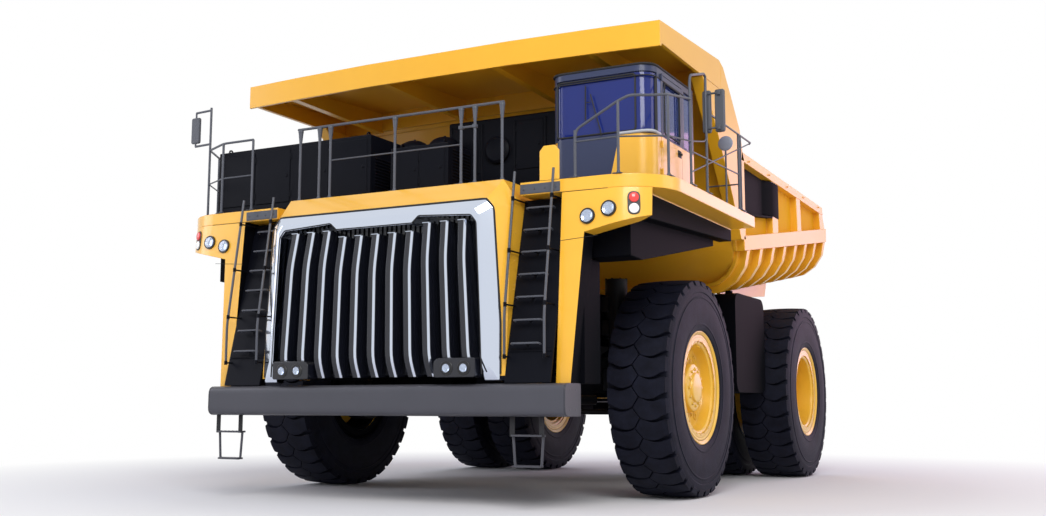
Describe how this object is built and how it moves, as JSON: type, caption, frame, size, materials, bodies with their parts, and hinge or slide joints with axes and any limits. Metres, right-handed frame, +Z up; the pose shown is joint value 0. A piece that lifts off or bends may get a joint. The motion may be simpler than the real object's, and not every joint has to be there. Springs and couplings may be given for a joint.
{
  "type": "mining dump truck",
  "caption": "Rigid-frame mining dump truck with a tipping bed and canopy, side cab, tall grille, steered front wheels and twin rear wheels.",
  "frame": {"origin": "on the ground under the middle of the truck's length and width", "axes": "+Z up, the truck faces -Y, its left side with the cab is +X"},
  "size_m": [8.065, 10.98, 6.5329],
  "materials": {
    "yellow_paint": "glossy warm yellow enamel",
    "black_paint": "satin near-black enamel",
    "bumper_grey": "satin dark grey enamel",
    "rail_grey": "satin grey powder coat",
    "chrome": "bright chrome plate",
    "bare_steel": "machined steel",
    "tyre_rubber": "matt black rubber",
    "tinted_glass": "blue tinted laminated glass",
    "seat_cloth": "woven seat cloth",
    "black_plastic": "moulded grained plastic",
    "mirror_glass": "silvered glass",
    "lamp_lens": "clear moulded lens",
    "lamp_red": "moulded red lens"
  },
  "bodies": {
    "chassis": {"main_frame": "black_paint", "front_bumper": "bumper_grey", "hood": "yellow_paint", "grille_surround": "chrome", "grille_bars": "black_paint", "engine_block": "black_paint", "deck_left": "yellow_paint", "deck_right": "yellow_paint", "fender_left": "yellow_paint", "fender_right": "yellow_paint", "ladder_left": "black_paint", "ladder_right": "black_paint", "control_cabinet": "black_paint", "brake_cabinet": "black_paint", "rear_cabinet": "black_paint", "air_intakes": "black_paint", "cab_shell": "yellow_paint", "windscreen": "tinted_glass", "side_glass_right": "tinted_glass", "side_glass_left": "tinted_glass", "operator_seat": "seat_cloth", "steering_console": "black_plastic", "handrail_hood": "rail_grey", "handrail_left": "rail_grey", "handrail_right": "rail_grey", "fuel_tank": "black_paint", "hydraulic_tank": "black_paint", "front_strut_left": "bare_steel", "front_strut_right": "bare_steel", "rear_axle": "black_paint"},
    "cab_door": {"cab_door": "yellow_paint", "door_glass": "tinted_glass"},
    "knuckle_left": {"knuckle_left": "black_paint"},
    "knuckle_right": {"knuckle_right": "black_paint"},
    "tie_rod": {"tie_rod": "bare_steel"},
    "steer_barrel_left": {"steer_barrel_left": "black_paint"},
    "steer_barrel_right": {"steer_barrel_right": "black_paint"},
    "steer_rod_left": {"steer_rod_left": "chrome"},
    "steer_rod_right": {"steer_rod_right": "chrome"},
    "front_wheel_left": {"front_tyre_left": "tyre_rubber", "front_rim_left": "yellow_paint"},
    "front_wheel_right": {"front_tyre_right": "tyre_rubber", "front_rim_right": "yellow_paint"},
    "rear_wheels_left": {"rear_outer_tyre_left": "tyre_rubber", "rear_inner_tyre_left": "tyre_rubber", "rear_rims_left": "yellow_paint"},
    "rear_wheels_right": {"rear_outer_tyre_right": "tyre_rubber", "rear_inner_tyre_right": "tyre_rubber", "rear_rims_right": "yellow_paint"},
    "bed": {"bed_floor": "yellow_paint", "bed_side_left": "yellow_paint", "bed_side_right": "yellow_paint", "bed_canopy": "yellow_paint"},
    "hoist_barrel_left": {"hoist_barrel_left": "black_paint"},
    "hoist_barrel_right": {"hoist_barrel_right": "black_paint"},
    "hoist_rod_left": {"hoist_rod_left": "chrome"},
    "hoist_rod_right": {"hoist_rod_right": "chrome"}
  },
  "joints": [
    {"name": "steer_left", "type": "hinge", "parent": "chassis", "child": "knuckle_left", "pos_m": [2.05, -2.15, 1.53], "axis": [0, 0, 1], "range_deg": [-36, 36]},
    {"name": "steer_right", "type": "hinge", "parent": "chassis", "child": "knuckle_right", "pos_m": [-2.05, -2.15, 1.53], "axis": [0, 0, 1], "range_deg": [-36, 36]},
    {"name": "tie_rod_swing", "type": "hinge", "parent": "knuckle_left", "child": "tie_rod", "pos_m": [2.05, -1.53, 1.18], "axis": [0, 0, 1], "range_deg": [-36, 36]},
    {"name": "steer_barrel_left_swing", "type": "hinge", "parent": "chassis", "child": "steer_barrel_left", "pos_m": [1, -2.75, 1.36], "axis": [0, 0, 1], "range_deg": [-6.8, 6.8]},
    {"name": "steer_rod_left_slide", "type": "slide", "parent": "steer_barrel_left", "child": "steer_rod_left", "axis": [0.6818, 0.7316, 0], "range_m": [-0.227, 0.227]},
    {"name": "steer_barrel_right_swing", "type": "hinge", "parent": "chassis", "child": "steer_barrel_right", "pos_m": [-1, -2.75, 1.36], "axis": [0, 0, 1], "range_deg": [-6.8, 6.8]},
    {"name": "steer_rod_right_slide", "type": "slide", "parent": "steer_barrel_right", "child": "steer_rod_right", "axis": [-0.6818, 0.7316, 0], "range_m": [-0.227, 0.227]},
    {"name": "front_wheel_left_spin", "type": "hinge", "parent": "knuckle_left", "child": "front_wheel_left", "pos_m": [2.939, -2.15, 1.53], "axis": [1, 0, 0], "continuous": true},
    {"name": "front_wheel_right_spin", "type": "hinge", "parent": "knuckle_right", "child": "front_wheel_right", "pos_m": [-2.939, -2.15, 1.53], "axis": [1, 0, 0], "continuous": true},
    {"name": "rear_wheels_left_spin", "type": "hinge", "parent": "chassis", "child": "rear_wheels_left", "pos_m": [3.106, 3.29, 1.53], "axis": [1, 0, 0], "continuous": true},
    {"name": "rear_wheels_right_spin", "type": "hinge", "parent": "chassis", "child": "rear_wheels_right", "pos_m": [-3.106, 3.29, 1.53], "axis": [1, 0, 0], "continuous": true},
    {"name": "bed_tip", "type": "hinge", "parent": "chassis", "child": "bed", "pos_m": [0, 4.3, 2.75], "axis": [-1, 0, 0], "range_deg": [0, 45]},
    {"name": "hoist_barrel_left_swing", "type": "hinge", "parent": "chassis", "child": "hoist_barrel_left", "pos_m": [1.2, -0.05, 1.35], "axis": [1, 0, 0], "range_deg": [0, 10]},
    {"name": "hoist_rod_left_slide", "type": "slide", "parent": "hoist_barrel_left", "child": "hoist_rod_left", "axis": [0, 0.7863, 0.6178], "range_m": [0, 1.658]},
    {"name": "hoist_barrel_right_swing", "type": "hinge", "parent": "chassis", "child": "hoist_barrel_right", "pos_m": [-1.2, -0.05, 1.35], "axis": [1, 0, 0], "range_deg": [0, 10]},
    {"name": "hoist_rod_right_slide", "type": "slide", "parent": "hoist_barrel_right", "child": "hoist_rod_right", "axis": [0, 0.7863, 0.6178], "range_m": [0, 1.658]},
    {"name": "cab_door_swing", "type": "hinge", "parent": "chassis", "child": "cab_door", "pos_m": [3.344, -3.612, 4.97], "axis": [0, 0, -1], "range_deg": [0, 33]}
  ],
  "couplings": [
    {"joint": "steer_right", "follows": "steer_left", "ratio": 1},
    {"joint": "tie_rod_swing", "follows": "steer_left", "ratio": -1},
    {"joint": "steer_barrel_left_swing", "follows": "steer_left", "ratio": 0.1755},
    {"joint": "steer_rod_left_slide", "follows": "steer_left", "m_per_rad": -0.3461},
    {"joint": "steer_barrel_right_swing", "follows": "steer_left", "ratio": 0.1755},
    {"joint": "steer_rod_right_slide", "follows": "steer_left", "m_per_rad": 0.3461},
    {"joint": "hoist_barrel_left_swing", "follows": "bed_tip", "ratio": 0.2004},
    {"joint": "hoist_rod_left_slide", "follows": "bed_tip", "m_per_rad": 2.0987},
    {"joint": "hoist_barrel_right_swing", "follows": "bed_tip", "ratio": 0.2004},
    {"joint": "hoist_rod_right_slide", "follows": "bed_tip", "m_per_rad": 2.0987}
  ]
}
